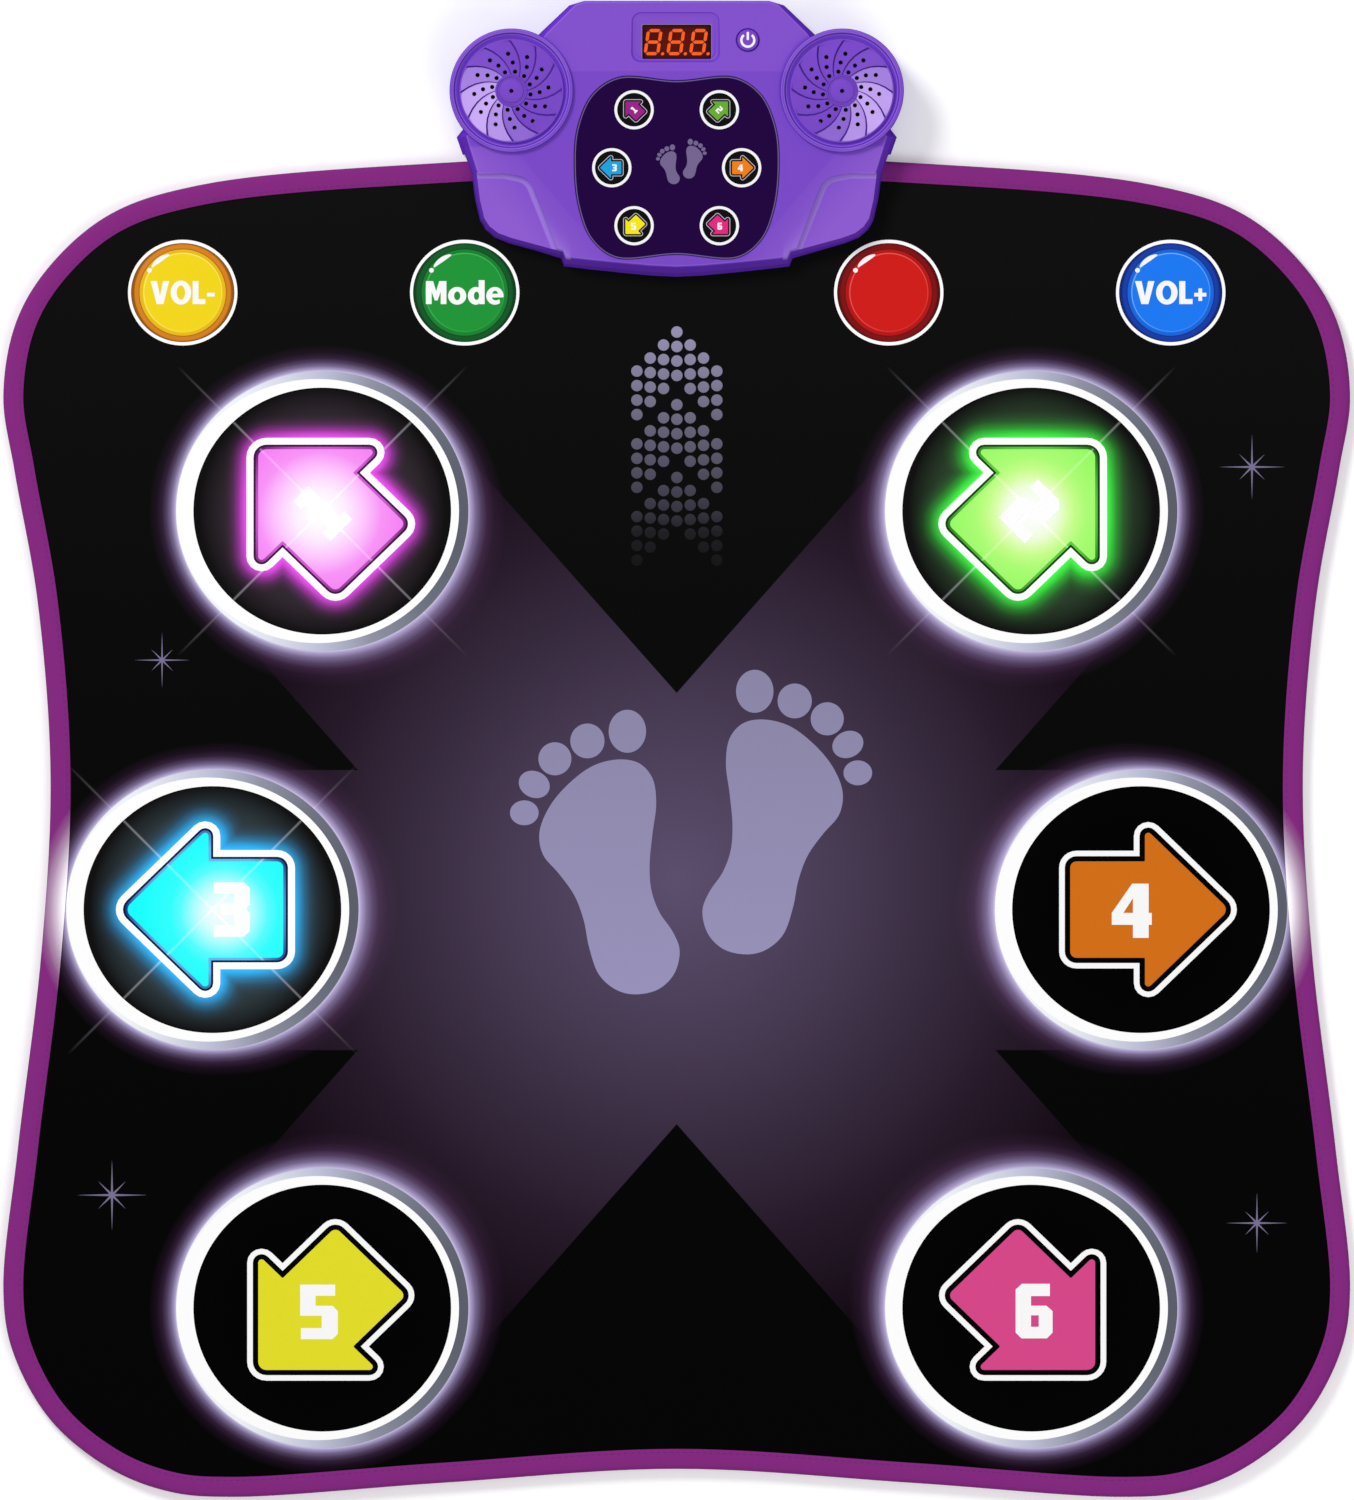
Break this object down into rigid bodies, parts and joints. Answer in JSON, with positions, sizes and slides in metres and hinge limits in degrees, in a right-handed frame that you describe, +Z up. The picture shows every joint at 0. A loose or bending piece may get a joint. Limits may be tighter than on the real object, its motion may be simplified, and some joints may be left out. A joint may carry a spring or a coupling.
{
  "type": "dance rhythm machine",
  "caption": "Foam floor mat with round light-up step pads and control pads, with a plastic console of speakers, display and power button fixed on its rear edge.",
  "frame": {"origin": "middle of the whole machine's footprint, on the floor under the mat", "axes": "+Y from the front edge towards the console, along the longest side; +X to the dancer's right; +Z up out of the mat"},
  "size_m": [0.92, 1.021, 0.0458],
  "materials": {
    "print_black": "matt printed vinyl cloth",
    "binding_purple": "woven tape",
    "backing_grey": "non-slip backing cloth",
    "foam_white": null,
    "film_clear": "printed contact film",
    "pad_violet": "printed vinyl cloth",
    "pad_green": "printed vinyl cloth",
    "pad_cyan": "printed vinyl cloth",
    "pad_orange": "printed vinyl cloth",
    "pad_yellow": "printed vinyl cloth",
    "pad_pink": "printed vinyl cloth",
    "key_yellow": "printed vinyl cloth",
    "key_green": "printed vinyl cloth",
    "key_red": "printed vinyl cloth",
    "key_blue": "printed vinyl cloth",
    "shell_purple": "satin moulded plastic",
    "panel_dark": "smoked glossy plastic",
    "lens_red": "dark red filter plastic",
    "display_black": "matt",
    "board_green": "solder mask",
    "reflector_white": "matt",
    "steel": "plated",
    "paper_black": "pressed pulp",
    "cell_jacket": "printed jacket",
    "rubber_black": "matt",
    "wire_red": "wire sleeve"
  },
  "bodies": {
    "machine": {"bottom_cover": "backing_grey", "foam_base": "foam_white", "lower_contact_film": "film_clear", "spacer_foam": "foam_white", "upper_contact_film": "film_clear", "top_cover": "print_black", "edge_binding": "binding_purple", "ribbon_tail": "film_clear", "light_board_1": "board_green", "light_board_2": "board_green", "light_board_3": "board_green", "light_board_4": "board_green", "light_board_5": "board_green", "light_board_6": "board_green", "console_top_shell": "shell_purple", "console_bottom_shell": "shell_purple", "face_panel": "panel_dark", "light_baffle": "reflector_white", "display_window": "lens_red", "display_module": "display_black", "main_board": "board_green", "power_switch": "display_black", "speaker_grille_left": "shell_purple", "speaker_frame_left": "steel", "speaker_lead_left": "wire_red", "speaker_grille_right": "shell_purple", "speaker_frame_right": "steel", "speaker_lead_right": "wire_red", "battery_1": "cell_jacket", "battery_2": "cell_jacket", "battery_3": "cell_jacket", "battery_4": "cell_jacket", "contact_link": "steel", "contact_positive": "steel", "contact_negative": "steel", "case_screw_1": "steel", "case_screw_2": "steel", "case_screw_3": "steel", "case_screw_4": "steel", "mat_screw_1": "steel", "mat_screw_2": "steel", "mat_screw_3": "steel", "mat_screw_4": "steel", "rubber_foot_left": "rubber_black", "rubber_foot_right": "rubber_black"},
    "step_pad_1": {"step_pad_1": "pad_violet"},
    "step_pad_2": {"step_pad_2": "pad_green"},
    "step_pad_3": {"step_pad_3": "pad_cyan"},
    "step_pad_4": {"step_pad_4": "pad_orange"},
    "step_pad_5": {"step_pad_5": "pad_yellow"},
    "step_pad_6": {"step_pad_6": "pad_pink"},
    "control_pad_volume_down": {"control_pad_volume_down": "key_yellow"},
    "control_pad_mode": {"control_pad_mode": "key_green"},
    "control_pad_source": {"control_pad_source": "key_red"},
    "control_pad_volume_up": {"control_pad_volume_up": "key_blue"},
    "power_button": {"power_button": "shell_purple"},
    "speaker_cone_left": {"speaker_cone_left": "paper_black"},
    "speaker_cone_right": {"speaker_cone_right": "paper_black"},
    "battery_door": {"battery_door": "shell_purple"},
    "battery_door_screw": {"battery_door_screw": "steel"}
  },
  "joints": [
    {"name": "step_pad_1_press", "type": "slide", "parent": "machine", "child": "step_pad_1", "axis": [0, 0, -1], "range_m": [0, 0.002], "stiffness_N_per_m": 2000, "springref_m": -0.0005},
    {"name": "step_pad_2_press", "type": "slide", "parent": "machine", "child": "step_pad_2", "axis": [0, 0, -1], "range_m": [0, 0.002], "stiffness_N_per_m": 2000, "springref_m": -0.0005},
    {"name": "step_pad_3_press", "type": "slide", "parent": "machine", "child": "step_pad_3", "axis": [0, 0, -1], "range_m": [0, 0.002], "stiffness_N_per_m": 2000, "springref_m": -0.0005},
    {"name": "step_pad_4_press", "type": "slide", "parent": "machine", "child": "step_pad_4", "axis": [0, 0, -1], "range_m": [0, 0.002], "stiffness_N_per_m": 2000, "springref_m": -0.0005},
    {"name": "step_pad_5_press", "type": "slide", "parent": "machine", "child": "step_pad_5", "axis": [0, 0, -1], "range_m": [0, 0.002], "stiffness_N_per_m": 2000, "springref_m": -0.0005},
    {"name": "step_pad_6_press", "type": "slide", "parent": "machine", "child": "step_pad_6", "axis": [0, 0, -1], "range_m": [0, 0.002], "stiffness_N_per_m": 2000, "springref_m": -0.0005},
    {"name": "control_pad_volume_down_press", "type": "slide", "parent": "machine", "child": "control_pad_volume_down", "axis": [0, 0, -1], "range_m": [0, 0.0018], "stiffness_N_per_m": 300, "springref_m": -0.0005},
    {"name": "control_pad_mode_press", "type": "slide", "parent": "machine", "child": "control_pad_mode", "axis": [0, 0, -1], "range_m": [0, 0.0018], "stiffness_N_per_m": 300, "springref_m": -0.0005},
    {"name": "control_pad_source_press", "type": "slide", "parent": "machine", "child": "control_pad_source", "axis": [0, 0, -1], "range_m": [0, 0.0018], "stiffness_N_per_m": 300, "springref_m": -0.0005},
    {"name": "control_pad_volume_up_press", "type": "slide", "parent": "machine", "child": "control_pad_volume_up", "axis": [0, 0, -1], "range_m": [0, 0.0018], "stiffness_N_per_m": 300, "springref_m": -0.0005},
    {"name": "power_button_press", "type": "slide", "parent": "machine", "child": "power_button", "axis": [0, 0.1045, -0.9945], "range_m": [0, 0.001], "stiffness_N_per_m": 200, "springref_m": -0.0005},
    {"name": "speaker_cone_left_travel", "type": "slide", "parent": "machine", "child": "speaker_cone_left", "axis": [0, -0.1045, 0.9945], "range_m": [-0.0005, 0.0005], "stiffness_N_per_m": 200},
    {"name": "speaker_cone_right_travel", "type": "slide", "parent": "machine", "child": "speaker_cone_right", "axis": [0, -0.1045, 0.9945], "range_m": [-0.0005, 0.0005], "stiffness_N_per_m": 200},
    {"name": "battery_door_hinge", "type": "hinge", "parent": "machine", "child": "battery_door", "pos_m": [0, 0.4377, 0.0015], "axis": [-1, 0, 0], "range_deg": [0, 30]},
    {"name": "battery_door_screw_turn", "type": "hinge", "parent": "battery_door", "child": "battery_door_screw", "pos_m": [0, 0.4736, 0.002], "axis": [0, 0, 1], "continuous": true}
  ]
}
